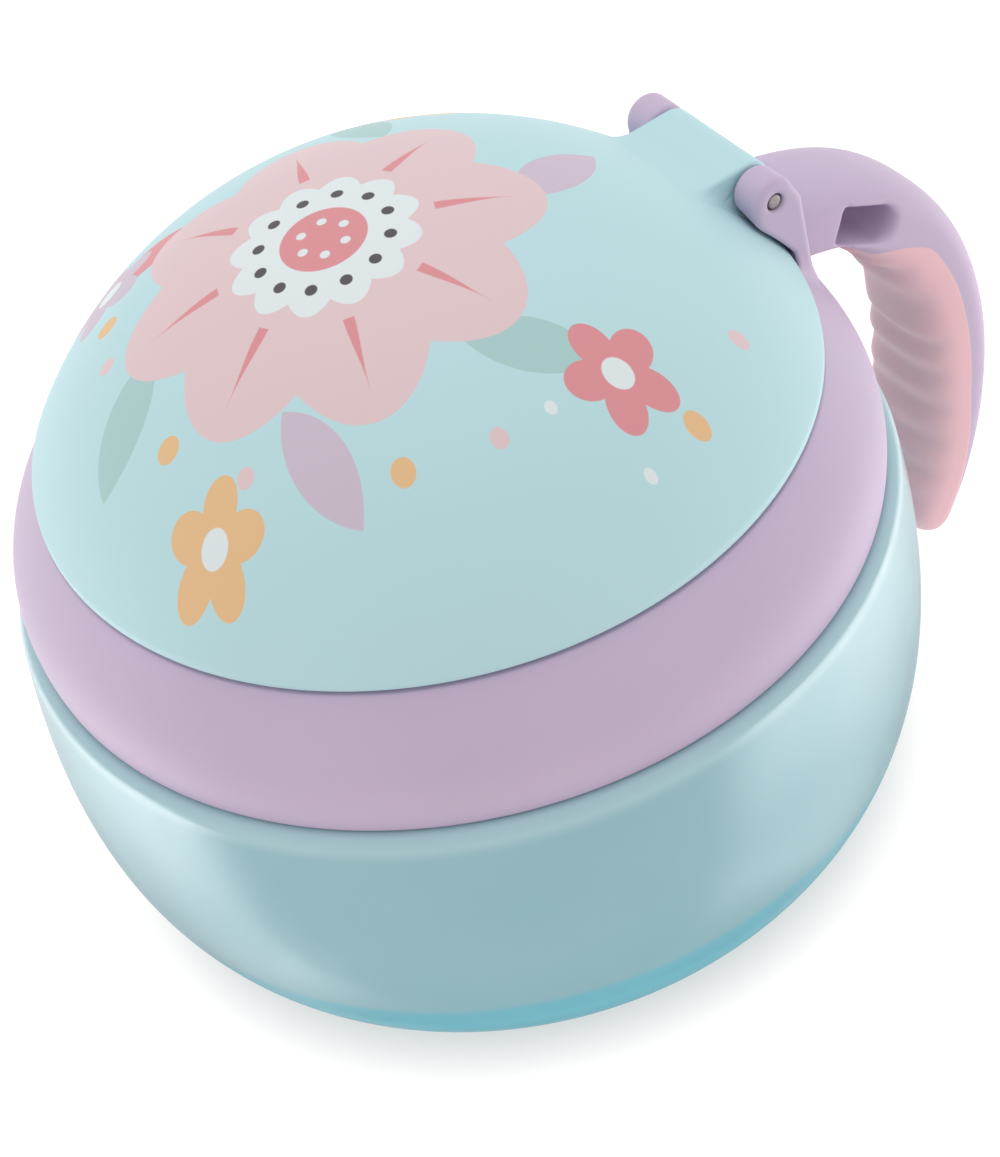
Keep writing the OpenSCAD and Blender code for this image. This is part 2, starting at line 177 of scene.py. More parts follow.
# Flap insert
FLAP_COUNT = 8
FLAP_T = 1.2
FLAP_ROOT_R = box_mm("flap_1")[1][0] - FLAP_T / 2
FLAP_TIP_R = 1.2
FLAP_SLIT = 0.3
FLAP_EDGE = 0.6
FLANGE_R = ring_high[0]
FLANGE_Z = ring_low[2]
FLANGE_T = 1.5
FLANGE_BORE_R = FLAP_ROOT_R + 0.9
FLANGE_EDGE = 0.25
SEAL_R = MOUTH_R - 0.15
SEAL_T = 0.9
SEAL_TOP_Z = ring_high[2]
FLAP_Z = FLANGE_Z + FLANGE_T / 2

SEGMENTS = 256
# A surface that another piece covers lies this much under it
HIDDEN = 0.008
# Boxes in which the rounded solids are polygonised, and their cells
EARS_BOX, EARS_CELL = ((-18, 38, 0), (18, 79, 77)), 0.3
KNUCKLE_BOX, KNUCKLE_CELL = ((-9, 31, 61), (9, 49, 77)), 0.2


# ---- Curves and fields ----

def bezier(controls, t):
    """Points of a Bezier curve with these control points, at the values t."""
    t = np.asarray(t, float)[..., None]
    points = [np.array(c, float) for c in controls]
    while len(points) > 1:
        points = [(1 - t) * a + t * b for a, b in zip(points, points[1:])]
    return points[0]


def arc(centre, r, start, end, steps):
    """Points of an arc; angles in degrees."""
    a = np.radians(np.linspace(start, end, steps + 1))
    return np.array(centre) + r * np.stack([np.cos(a), np.sin(a)], -1)


def ease(x):
    """A smooth step from 0 to 1."""
    x = np.clip(x, 0, 1)
    return x * x * (3 - 2 * x)


def soften(outline, radius, turn=25, steps=4):
    """A closed outline with each corner sharper than turn degrees rounded."""
    points = [np.array(p, float) for p in outline]
    made = []
    for before, at, after in zip(points[-1:] + points[:-1], points, points[1:] + points[:1]):
        a, b = before - at, after - at
        la, lb = np.linalg.norm(a), np.linalg.norm(b)
        bend = 180 - math.degrees(math.acos(np.clip(a @ b / (la * lb), -1, 1)))
        on_axis = abs(at[0]) < 1e-6
        if bend < turn or on_axis:
            made.append(at)
            continue
        reach = min(radius, la * 0.45, lb * 0.45)
        corner = [at + a / la * reach, at, at + b / lb * reach]
        made.extend(bezier(corner, np.linspace(0, 1, steps + 1)))
    return np.array(made)


def lathe(outline, segments=SEGMENTS):
    """Vertices and faces of a closed (radius, height) outline turned about Z."""
    turn = np.linspace(0, 2 * math.pi, segments, endpoint=False)
    vertices, rings = [], []
    for r, z in outline:
        count = 1 if abs(r) < 1e-6 else segments
        rings.append(range(len(vertices), len(vertices) + count))
        vertices.extend((r * math.cos(a), r * math.sin(a), z) for a in turn[:count])
    faces = []
    for a, b in zip(rings, rings[1:] + rings[:1]):
        if len(a) == len(b) == 1:
            continue
        for i in range(segments):
            j = (i + 1) % segments
            corners = (a[i % len(a)], a[j % len(a)], b[j % len(b)], b[i % len(b)])
            faces.append(tuple(dict.fromkeys(corners)))
    return np.array(vertices), faces


def tube(rings):
    """Vertices and faces of a closed skin through rings of as many points each."""
    count = len(rings[0])
    faces = [tuple(range(count - 1, -1, -1)),
             tuple(range((len(rings) - 1) * count, len(rings) * count))]
    for i in range(len(rings) - 1):
        for j in range(count):
            k = (j + 1) % count
            faces.append((i * count + j, i * count + k, (i + 1) * count + k, (i + 1) * count + j))
    return np.concatenate(rings), faces


class Map:
    """Values on a fine grid over a plane, read off between its points."""

    STEP = 0.15

    def __init__(self, low, high, values):
        self.low = np.array(low, float)
        size = ((np.array(high) - self.low) / self.STEP).astype(int) + 2
        axes = [self.low[k] + self.STEP * np.arange(size[k]) for k in (0, 1)]
        self.grid = values(*np.meshgrid(*axes, indexing="ij"))

    def __call__(self, a, b):
        top = np.array(self.grid.shape) - 1.001
        u = np.clip((a - self.low[0]) / self.STEP, 0, top[0])
        v = np.clip((b - self.low[1]) / self.STEP, 0, top[1])
        i, j = u.astype(int), v.astype(int)
        s, t = u - i, v - j
        g = self.grid
        return ((g[i, j] * (1 - s) + g[i + 1, j] * s) * (1 - t)
                + (g[i, j + 1] * (1 - s) + g[i + 1, j + 1] * s) * t)


def outline_map(outline, margin=6):
    """A closed 2-D outline as a signed distance, negative inside."""
    points = np.array(outline, float)

    def distance(a, b):
        nearest = np.full(a.shape, 1e9)
        inside = np.zeros(a.shape, bool)
        for p, q in zip(points, np.roll(points, -1, 0)):
            along = q - p
            share = ((a - p[0]) * along[0] + (b - p[1]) * along[1]) / max(along @ along, 1e-12)
            share = np.clip(share, 0, 1)
            gap = (a - p[0] - share * along[0]) ** 2 + (b - p[1] - share * along[1]) ** 2
            nearest = np.minimum(nearest, gap)
            if p[1] != q[1]:
                crosses = (p[1] > b) != (q[1] > b)
                inside ^= crosses & (a < p[0] + along[0] * (b - p[1]) / along[1])
        return np.where(inside, -1, 1) * np.sqrt(nearest)

    return Map(points.min(0) - margin, points.max(0) + margin, distance)


def rounded(a, b, r):
    """Two distances joined into a solid's, with its edge rounded to r."""
    a, b = a + r, b + r
    return np.hypot(np.maximum(a, 0), np.maximum(b, 0)) + np.minimum(np.maximum(a, b), 0) - r


def join(a, b, k):
    """The union of two fields, with a fillet that reaches k."""
    h = np.maximum(k - np.abs(a - b), 0) / k
    return np.minimum(a, b) - h * h * k / 4


def cut(a, b, k):
    """Field a less field b, with its edges softened over k."""
    return -join(-a, b, k)


def skin_of(field, low, high, step):
    """Vertices and faces where the field is zero inside a box, set onto the surface."""
    axes = [np.arange(a, b + step, step) for a, b in zip(low, high)]
    x, y, z = np.meshgrid(*axes, indexing="ij")
    values = field(x.ravel(), y.ravel(), z.ravel()).reshape(x.shape)
    edge = np.full(values.shape, True)
    edge[1:-1, 1:-1, 1:-1] = False
    values[edge] = np.maximum(values[edge], step)
    grid = openvdb.FloatGrid(float(step))
    grid.copyFromArray(values.astype(np.float32))
    points, faces = grid.convertToQuads(isovalue=0.0)
    points = points * step + np.array(low)
    reach = 0.1
    for _ in range(3):
        here = field(*points.T)
        slope = np.stack([field(*(points + reach * way).T) - field(*(points - reach * way).T)
                          for way in np.eye(3)], -1) / (2 * reach)
        steep = np.maximum((slope ** 2).sum(-1), 0.25)
        move = -slope * (here / steep)[:, None]
        far = np.linalg.norm(move, axis=-1, keepdims=True)
        points = points + move * np.minimum(1, 0.5 * step / np.maximum(far, 1e-9))
    return points, [tuple(f) for f in faces]


# ---- Pieces ----

def add_piece(name, parts, material, body, replaces=(), sharp=38):
    """Adds one mesh object made of (vertices, faces) parts, riding on a body."""
    vertices, faces = [], []
    for part_vertices, part_faces in parts:
        start = len(vertices)
        vertices.extend(np.asarray(part_vertices) * MM)
        faces.extend(tuple(start + i for i in f) for f in part_faces)
    mesh = bpy.data.meshes.new(name)
    mesh.from_pydata([tuple(v) for v in vertices], [], faces)
    work = bmesh.new()
    work.from_mesh(mesh)
    bmesh.ops.recalc_face_normals(work, faces=work.faces)
    work.to_mesh(mesh)
    work.free()
    mesh.shade_smooth()
    mesh.set_sharp_from_angle(angle=math.radians(sharp))
    mesh.materials.append(material)
    piece = bpy.data.objects.new(name, mesh)
    bpy.context.scene.collection.objects.link(piece)
    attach(piece, body)
    if replaces:
        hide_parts(*replaces)
    return piece


# ---- Materials ----

class Term:
    """A shader value that Python's operators combine, one node for each step."""

    def __init__(self, tree, socket):
        self.tree = tree
        self.socket = socket

    def do(self, operation, *others, clamp=False):
        node = self.tree.nodes.new("ShaderNodeMath")
        node.operation = operation
        node.use_clamp = clamp
        for i, value in enumerate((self, *others)):
            feed(self.tree, node.inputs[i], value)
        return Term(self.tree, node.outputs[0])

    def __add__(self, other):
        return self.do("ADD", other)

    def __sub__(self, other):
        return self.do("SUBTRACT", other)

    def __mul__(self, other):
        return self.do("MULTIPLY", other)

    def __truediv__(self, other):
        return self.do("DIVIDE", other)


def feed(tree, into, value):
    """Links a term or a socket to an input, or sets the input to a number."""
    if isinstance(value, Term):
        tree.links.new(value.socket, into)
    elif isinstance(value, bpy.types.NodeSocket):
        tree.links.new(value, into)
    else:
        into.default_value = value


def ramp(tree, value, low, high, to_low=0.0, to_high=1.0, smooth=True):
    """Maps low..high onto to_low..to_high, held at both ends."""
    node = tree.nodes.new("ShaderNodeMapRange")
    node.interpolation_type = "SMOOTHSTEP" if smooth else "LINEAR"
    for name, number in (("Value", value), ("From Min", low), ("From Max", high),
                         ("To Min", to_low), ("To Max", to_high)):
        feed(tree, node.inputs[name], number)
    return Term(tree, node.outputs["Result"])


def linear(rgb):
    """A linear colour from sRGB values of 0 to 255."""
    share = [c / 255 for c in rgb]
    return tuple(c / 12.92 if c < 0.04045 else ((c + 0.055) / 1.055) ** 2.4 for c in share) + (1,)


class Finish:
    """A material under construction: its tree, its shader and the object's coordinates."""

    def __init__(self, name, colour, roughness):
        self.material = bpy.data.materials.new(name)
        self.material.use_nodes = True
        self.tree = self.material.node_tree
        self.shader = next(n for n in self.tree.nodes if n.type == "BSDF_PRINCIPLED")
        self.shader.inputs["Base Color"].default_value = colour
        self.shader.inputs["Roughness"].default_value = roughness
        place = self.tree.nodes.new("ShaderNodeTexCoord").outputs["Object"]
        apart = self.tree.nodes.new("ShaderNodeSeparateXYZ")
        self.tree.links.new(place, apart.inputs[0])
        self.place = place
        self.x, self.y, self.z = (Term(self.tree, o) * (1 / MM) for o in apart.outputs)

    def set(self, name, value):
        feed(self.tree, self.shader.inputs[name], value)

    def noise(self, size, detail=2.0, seed=0.0):
        """Noise of 0 to 1 with features of that size in millimetres."""
        node = self.tree.nodes.new("ShaderNodeTexNoise")
        node.noise_dimensions = "4D"
        node.inputs["W"].default_value = seed
        node.inputs["Scale"].default_value = 1 / (size * MM)
        node.inputs["Detail"].default_value = detail
        self.tree.links.new(self.place, node.inputs["Vector"])
        return Term(self.tree, node.outputs["Fac"])

    def ramp(self, *numbers, smooth=True):
        return ramp(self.tree, *numbers, smooth=smooth)

    def mix(self, share, a, b):
        """A colour between a and b."""
        node = self.tree.nodes.new("ShaderNodeMix")
        node.data_type = "RGBA"
        feed(self.tree, node.inputs["Factor"], share)
        feed(self.tree, node.inputs[6], a)
        feed(self.tree, node.inputs[7], b)
        return node.outputs[2]

    def bump(self, height, distance):
        """Relief on the shader, of that many millimetres from height 0 to 1."""
        node = self.tree.nodes.new("ShaderNodeBump")
        node.inputs["Strength"].default_value = 1.0
        node.inputs["Distance"].default_value = distance * MM
        feed(self.tree, node.inputs["Height"], height)
        self.tree.links.new(node.outputs["Normal"], self.shader.inputs["Normal"])


LILAC, PINK, PALE_MINT, AQUA = (201, 183, 208), (240, 196, 203), (206, 230, 226), (188, 223, 228)
STEEL = (122, 114, 116)
CUP_BAND, CUP_DEEP, CUP_PALE = (132, 206, 222), (156, 200, 210), (168, 208, 216)
# Paler aqua just under the collar: painted light, standing in for the reflections there
CUP_SHOULDER_PAINTED_LIGHT = (206, 234, 238)


def moulded(name, rgb, roughness, grain, tint=0.06):
    """Satin moulded plastic: a fine spark texture and a faint flow in its colour."""
    finish = Finish(name, linear(rgb), roughness)
    flow = finish.noise(26, detail=1.5)
    light = tuple(min(1, c * (1 + tint)) for c in linear(rgb)[:3]) + (1,)
    dark = tuple(c * (1 - tint) for c in linear(rgb)[:3]) + (1,)
    finish.set("Base Color", finish.mix(flow, dark, light))
    spark = finish.noise(grain, detail=3.0, seed=3.0)
    finish.set("Roughness", finish.ramp(spark, 0.3, 0.7, roughness - 0.01, roughness + 0.02))
    finish.bump(spark, 0.001)
    return finish


def collar_material():
    finish = moulded("lilac_plastic", LILAC, 0.5, 0.8)
    finish.set("Specular IOR Level", 0.3)
    finish.set("Subsurface Weight", 0.15)
    finish.set("Subsurface Radius", (0.003, 0.0015, 0.003))
    return finish.material


def grip_material():
    finish = moulded("pink_elastomer", PINK, 0.62, 0.3)
    finish.set("Subsurface Weight", 0.5)
    finish.set("Subsurface Radius", (0.006, 0.0025, 0.0025))
    return finish.material


def insert_material():
    finish = moulded("mint_elastomer", PALE_MINT, 0.55, 0.4)
    finish.set("Subsurface Weight", 0.2)
    finish.set("Subsurface Radius", (0.002, 0.003, 0.003))
    return finish.material


def pin_material():
    finish = Finish("drawn_steel", linear(STEEL), 0.5)
    finish.set("Metallic", 1.0)
    scratch = finish.noise(0.25, detail=4.0)
    finish.set("Roughness", finish.ramp(scratch, 0.3, 0.7, 0.42, 0.6))
    finish.bump(scratch, 0.01)
    return finish.material


def cup_material():
    """Milky aqua plastic that lets some light through, with painted light just under the collar."""
    finish = Finish("aqua_clear_plastic", linear(CUP_PALE), 0.2)
    above_band = finish.ramp(finish.z, 12.0, 14.0)
    flow = finish.noise(30, detail=1.0, seed=5.0)
    body = finish.mix(flow, linear(CUP_DEEP), linear(CUP_PALE))
    wall = finish.mix(above_band, linear(CUP_BAND), body)
    # Paler towards the collar: painted light for the reflections under it
    painted_light_at_shoulder = finish.ramp(finish.z, 41.5, 43.5, 0.0, 0.45)
    finish.set("Base Color", finish.mix(painted_light_at_shoulder, wall, linear(CUP_SHOULDER_PAINTED_LIGHT)))
    finish.set("Specular IOR Level", finish.ramp(finish.z, 8.0, 12.0, 0.06, 0.5))
    finish.set("Transmission Weight", 0.1)
    finish.set("IOR", 1.45)
    finish.set("Subsurface Weight", 0.25)
    finish.set("Subsurface Radius", (0.004, 0.006, 0.007))
    ripple = finish.noise(9, detail=1.0, seed=8.0)
    finish.set("Roughness", finish.ramp(ripple, 0.3, 0.7, 0.16, 0.26))
    finish.bump(ripple, 0.02)
    return finish.material


class Print:
    """Flat printed shapes seen from above, each laid over those before it."""

    SOFT = 0.06

    def __init__(self, finish, ground):
        self.finish = finish
        self.colour = ground

    def lay(self, outside, rgb):
        """Lays a colour where the distance outside a shape is below zero."""
        share = self.finish.ramp(outside, -self.SOFT, self.SOFT, 1.0, 0.0, smooth=False)
        self.colour = self.finish.mix(share, self.colour, linear(rgb))

    def polar(self, at):
        """Distance from a place, and the angle round it."""
        x, y = self.finish.x - at[0], self.finish.y - at[1]
        return (x * x + y * y).do("SQRT"), y.do("ARCTAN2", x)

    def disc(self, at, r, rgb):
        """A round dot."""
        self.lay(self.polar(at)[0] - r, rgb)

    def blossom(self, at, r, petals, depth, rgb, turn=0.0):
        """A flower whose round petals part to that depth."""
        far, angle = self.polar(at)
        wave = (angle * (petals / 2) + turn).do("SINE").do("ABSOLUTE")
        self.lay(far - wave * depth - (r - depth), rgb)

    def spokes(self, at, count, start, end, width, rgb):
        """Thin lines that run outwards from start to end, narrowing."""
        far, angle = self.polar(at)
        aside = (angle * (count / 2)).do("COSINE").do("ABSOLUTE") * far * (2 / count)
        taper = self.finish.ramp(far, start, end, width / 2, 0.0)
        gap = (aside - taper).do("MAXIMUM", far * -1 + start).do("MAXIMUM", far - end)
        self.lay(gap, rgb)

    def ring(self, at, count, reach, r, rgb):
        """Dots set round a place."""
        far, angle = self.polar(at)
        part = 2 * math.pi / count
        folded = angle.do("FLOORED_MODULO", part) - part / 2
        x, y = far * folded.do("COSINE") - reach, far * folded.do("SINE")
        self.lay((x * x + y * y).do("SQRT") - r, rgb)

    def leaf(self, at, length, width, degrees, rgb):
        """A leaf between two arcs, pointing that way."""
        c, s = math.cos(math.radians(degrees)), math.sin(math.radians(degrees))
        x, y = self.finish.x - at[0], self.finish.y - at[1]
        along, across = x * c + y * s, y * c - x * s
        bow = (length ** 2 + width ** 2) / (4 * width)
        left, right = across + (bow - width / 2), across - (bow - width / 2)
        far = (along * along + left * left).do("SQRT")
        other = (along * along + right * right).do("SQRT")
        self.lay(far.do("MAXIMUM", other) - bow, rgb)


BLUSH, CORAL, LAVENDER = (226, 200, 203), (222, 146, 152), (206, 190, 206)
MINT, APRICOT, MILK, SEED = (170, 206, 204), (232, 190, 140), (226, 234, 236), (84, 80, 84)
FLOWER_AT = (-2, -6)
LEAF_REACH = 28
LEAVES = ((18, MINT), (78, LAVENDER), (140, MINT), (205, CORAL), (262, MINT), (322, LAVENDER))
SMALL_FLOWERS = (((31, 9), CORAL), ((-30, -22), LAVENDER), ((15, -36), APRICOT),
                 ((-27, 22), APRICOT))
DOT_COUNT = 22
GOLDEN_TURN, GOLDEN_SHARE = 2.39996, 0.618


def flower_print(finish, ground):
    """A meadow print for the dome: one large flower, small ones, leaves and dots."""
    art = Print(finish, ground)
    for k in range(DOT_COUNT):
        turn = GOLDEN_TURN * k
        reach = 31 + 9.5 * ((k * GOLDEN_SHARE) % 1)
        at = (reach * math.cos(turn), reach * math.sin(turn))
        clear_of_hinge = at[1] < 30
        if clear_of_hinge:
            art.disc(at, 0.7 + 0.35 * (k % 3), (MILK, BLUSH, APRICOT)[k % 3])
    for degrees, rgb in LEAVES:
        a = math.radians(degrees)
        at = (FLOWER_AT[0] + LEAF_REACH * math.cos(a), FLOWER_AT[1] + LEAF_REACH * math.sin(a))
        art.leaf(at, 15, 6.5, degrees + 34, rgb)
    art.blossom(FLOWER_AT, 25.5, 8, 5.0, BLUSH)
    art.spokes(FLOWER_AT, 8, 13, 22, 1.3, CORAL)
    art.blossom(FLOWER_AT, 11.5, 12, 1.8, MILK)
    art.ring(FLOWER_AT, 12, 7.9, 0.75, SEED)
    art.disc(FLOWER_AT, 5.2, CORAL)
    art.ring(FLOWER_AT, 6, 2.9, 0.6, MILK)
    for at, rgb in SMALL_FLOWERS:
        art.blossom(at, 6.2, 5, 2.6, rgb, turn=at[0])
        art.disc(at, 1.7, MILK)
    return art.colour


def cover_material():
    finish = moulded("aqua_plastic", AQUA, 0.5, 1.2, tint=0.02)
    ground = finish.shader.inputs["Base Color"].links[0].from_socket
    rise = finish.z - DOME_Z
    far = (finish.x * finish.x + finish.y * finish.y + rise * rise).do("SQRT")
    outside = finish.ramp(far, DOME_R - 0.7, DOME_R - 0.4)
    finish.set("Base Color", finish.mix(outside, ground, flower_print(finish, ground)))
    finish.set("Specular IOR Level", 0.4)
    return finish.material


# ---- Cup ----

def cup_outline():
    """The outline of the cup: heel, wall, shoulder, neck, and the hollow inside."""
    way = np.array([math.sin(math.radians(HEEL_TURN)), math.cos(math.radians(HEEL_TURN))])
    start = np.array([FOOT_R + HEEL_R * way[1], HEEL_R * (1 - way[0])])
    via = start + way * (SHOULDER_R + CUP_SWELL - start[0]) / way[0]
    end = np.array([SHOULDER_R, SHOULDER_Z - SHOULDER_ROUND])
    t = np.linspace(0, 1, 60)
    wall = bezier([start, via, end], t)
    slope = np.gradient(wall, axis=0)
    slope /= np.linalg.norm(slope, axis=1, keepdims=True)
    inner = (wall + CUP_WALL * np.stack([-slope[:, 1], slope[:, 0]], -1))[11:58]
    low = inner[0]
    corner = low - slope[11] * (low[1] - CUP_FLOOR) / slope[11][1]
    outside = [[0, 0], *arc([FOOT_R, HEEL_R], HEEL_R, -90, -HEEL_TURN, 12), *wall[1:-1],
               *arc([SHOULDER_R - SHOULDER_ROUND, end[1]], SHOULDER_ROUND, 0, 90, 8),
               [NECK_R, SHOULDER_Z], [NECK_R, RIM_Z]]
    bore_r = NECK_R - NECK_WALL
    inside = [[bore_r, RIM_Z], [bore_r, SHOULDER_Z - CUP_WALL * 0.6], *inner[::-1],
              *bezier([low, corner, corner - [6, 0]], np.linspace(0.15, 1, 8)), [0, CUP_FLOOR]]
    return soften(outside + inside, CUP_EDGE)


def thread_ridge(root_r, way, start):
    """One helical ridge, with its root sunk a little into the wall that carries it."""
    rings = []
    for angle in np.linspace(0, THREAD_SPAN, 43):
        rise = THREAD_H * float(ease(min(angle, THREAD_SPAN - angle) / THREAD_RUN_IN + 0.15))
        at = math.radians(start + angle)
        z = THREAD_Z + THREAD_LEAD * angle / 360
        rings.append(np.array([
            ((root_r + way * rise * h) * math.cos(at), (root_r + way * rise * h) * math.sin(at),
             z + THREAD_W * w) for h, w in THREAD_SECTION]))
    return tube(rings)


def threads(root_r, way, turn):
    """All the ridges of a thread, outward (way 1) or inward (way -1)."""
    return [thread_ridge(root_r, way, turn + k * 360 / THREAD_STARTS)
            for k in range(THREAD_STARTS)]


# ---- Collar ----

def band_outline():
    """The collar's convex outside, from its lower edge to its top."""
    return bezier([[COLLAR_FOOT_R, COLLAR_Z],
                   [COLLAR_FOOT_R + BAND_LOW_OUT, COLLAR_Z + COLLAR_H * BAND_LOW_AT],
                   [COLLAR_TOP_R + BAND_HIGH_OUT, COLLAR_TOP_Z - BAND_HIGH_DROP],
                   [COLLAR_TOP_R, COLLAR_TOP_Z]], np.linspace(0, 1, 41))


def collar_outline():
    """The outline of the collar: band, recess, plate round the mouth, and bore."""
    plate_top = PLATE_Z + PLATE_T
    inside = [[RECESS_R, COLLAR_TOP_Z], [RECESS_R, plate_top], [MOUTH_R, plate_top],
              [MOUTH_R, PLATE_Z], [BORE_R, PLATE_Z], [BORE_R, COLLAR_Z]]
    return np.concatenate([band_outline(), inside])


# ---- Handle ----

def outer_face(u):
    """Points of the handle's outer face in the Y-Z plane, for u from root to tip."""
    root = [ROOT_AT, ROOT_AT + ROOT_PULL, CREST_AT + CREST_PULL_UP, CREST_AT]
    tip = [CREST_AT, CREST_AT + CREST_PULL_DOWN, TIP_AT + TIP_PULL, TIP_AT]
    u = np.asarray(u, float)
    first = bezier(root, np.clip(2 * u, 0, 1))
    second = bezier(tip, np.clip(2 * u - 1, 0, 1))
    return np.where(u[..., None] < 0.5, first, second)


def outer_slope(u):
    """The unit direction of the outer face, from root to tip."""
    u = np.asarray(u, float)
    step = 1e-4
    way = outer_face(np.minimum(u + step, 1)) - outer_face(np.maximum(u - step, 0))
    return way / np.linalg.norm(way, axis=-1, keepdims=True)


def thickness(u):
    """The handle's thickness in side view."""
    u = np.asarray(u, float)
    root, bend, grip = (thick + change * ease((u - start) / length)
                        for start, length, thick, change in (ROOT_SWELL, BEND_THINS, GRIP_THINS))
    return np.where(u < BEND_THINS[0], root, np.where(u < GRIP_THINS[0], bend, grip))


def away(u):
    """The direction from the fingers' side to the outer face."""
    slope = outer_slope(u)
    return np.stack([-slope[..., 1], slope[..., 0]], -1)


def grip_depth(u):
    """How deep the soft grip goes from the fingers' side."""
    return np.maximum(GRIP_LEAST, thickness(u) * np.interp(u, GRIP_AT, GRIP_SHARE))


def palm_round(u):
    """Depth of the rounding on the fingers' side."""
    return np.interp(u, [0, 0.2, 0.3], [1.2, 1.4, HANDLE_ROUND])


def full_half_width(u):
    """Half the handle's width, where it is widest."""
    return (HANDLE_W + HANDLE_FLARE * ease(2 * np.asarray(u) - 1)) / 2


def station_of(y, z):
    """Where along the handle's outer face a point of the Y-Z plane lies nearest."""
    stations = np.linspace(0, 1, 321)
    face, slopes = outer_face(stations), outer_slope(stations)
    pace = np.linalg.norm(np.gradient(face, stations, axis=0), axis=1)
    best, gap = np.zeros(y.shape, int), np.full(y.shape, 1e9)
    for i, (face_y, face_z) in enumerate(face):
        far = (y - face_y) ** 2 + (z - face_z) ** 2
        best = np.where(far < gap, i, best)
        gap = np.minimum(far, gap)
    shift = (y - face[best, 0]) * slopes[best, 0] + (z - face[best, 1]) * slopes[best, 1]
    return np.clip(stations[best] + shift / pace[best], 0, 1)


def depth_of(y, z):
    """Depth of a point below the handle's outer face."""
    u = station_of(y, z)
    return ((outer_face(u) - np.stack([y, z], -1)) * away(u)).sum(-1)


def beyond_tip(y, z):
    """How far a point lies past the handle's last station."""
    along = ((np.stack([y, z], -1) - outer_face(1.0)) * outer_slope(1.0)).sum(-1)
    return np.where(station_of(y, z) > 0.999, np.maximum(along, 0), 0)


HANDLE_PLANE = ([38, -2], [82, 72])
handle_station = Map(*HANDLE_PLANE, station_of)
handle_depth = Map(*HANDLE_PLANE, depth_of)
handle_beyond = Map(*HANDLE_PLANE, beyond_tip)
collar_shape = outline_map(collar_outline())


def strap_field(x, y, z):
    """The handle: crowned on both faces, and rounded at its tip."""
    u, depth, past = handle_station(y, z), handle_depth(y, z), handle_beyond(y, z)
    half = thickness(u) / 2
    round_tip = half - np.hypot(depth - half, past)
    outer = np.where(past > 0, round_tip, depth)
    inner = np.where(past > 0, round_tip, 2 * half - depth)
    blunt = TIP_BLUNT * np.minimum(past / half, 1)
    near = np.maximum(1 - outer / (HANDLE_ROUND - blunt), 1 - inner / (palm_round(u) - blunt))
    near = np.maximum(near, 0)
    wide = np.abs(x) / full_half_width(u)
    oval = (wide ** HANDLE_SQUARE + near ** HANDLE_SQUARE) ** (1 / HANDLE_SQUARE)
    return HANDLE_ROUND * (oval - 1)


def grip_field(y, z):
    """In side view, negative where the soft grip lies."""
    u = handle_station(y, z)
    field = thickness(u) - handle_depth(y, z) - grip_depth(u)
    return np.where(u < GRIP_FROM, 9, field)


def slot_field(y, z):
    """The strap slot in side view, and how far along the handle a point lies from it."""
    slope, out = outer_slope(SLOT_U), away(SLOT_U)
    centre = outer_face(SLOT_U) - out * (SLOT_WALL + SLOT[1] / 2)
    along = (y - centre[0]) * slope[0] + (z - centre[1]) * slope[1]
    across = (y - centre[0]) * out[0] + (z - centre[1]) * out[1]
    sides = np.abs(along) - SLOT[0] / 2, np.abs(across) - SLOT[1] / 2
    return rounded(*sides, np.where(along > 0, SLOT_ROUND_FAR, SLOT_ROUND)), along


def dome_gap(x, y, z):
    """Distance outside the dome's sphere."""
    return np.sqrt(x * x + y * y + (z - DOME_Z) ** 2) - DOME_R


def hinge_and_handle_field(x, y, z):
    """The ears and the strap of the handle, flowing into the collar's band."""
    r = np.hypot(x, y)
    band = collar_shape(r, z) + HIDDEN
    strap = np.maximum(strap_field(x, y, z) + STRAP_SHRINK, STRAP_FROM_Y - y)
    heel = EAR_HEEL * np.clip((HINGE_Z + 0.5 - z) / 2, 0, 1)
    aside = np.where(y > HINGE_Y, np.maximum(y - HINGE_Y - heel, 0), y - HINGE_Y)
    tab = np.hypot(aside, np.maximum(z - HINGE_Z, 0)) - BARREL_R
    ear = rounded(tab, np.abs(np.abs(x) - EAR_IN - EAR_W / 2) - EAR_W / 2, EAR_EDGE)
    ear = np.maximum(ear, PLATE_Z + 0.5 - z)
    body = join(join(band, ear, EAR_FILLET), strap, STRAP_FILLET)
    dome_room = np.maximum(dome_gap(x, y, z) - EAR_DOME_GAP, r - COVER_R - EAR_DOME_GAP)
    dome_room = np.maximum(dome_room, COLLAR_TOP_Z - z)
    middle = 36
    reach = COVER_R + KNUCKLE_ROOM_GAP - middle
    knuckle_room = np.maximum(np.abs(x) - EAR_IN, np.abs(y - middle) - reach)
    knuckle_room = np.maximum(knuckle_room, COLLAR_TOP_Z - z)
    body = cut(body, np.minimum(dome_room, knuckle_room), 0.5)
    body = cut(body, np.hypot(y - HINGE_Y, z - HINGE_Z) - PIN_R - EAR_PIN_GAP, 0.35)
    body = np.maximum(body, -(grip_field(y, z) + GRIP_SUNK))
    slot, along = slot_field(y, z)
    softer_far = 0.4 + 0.8 * ease(along / 3 - 0.6)
    body = cut(body, slot, softer_far)
    return np.maximum(body, MOUTH_R + 1 - r)


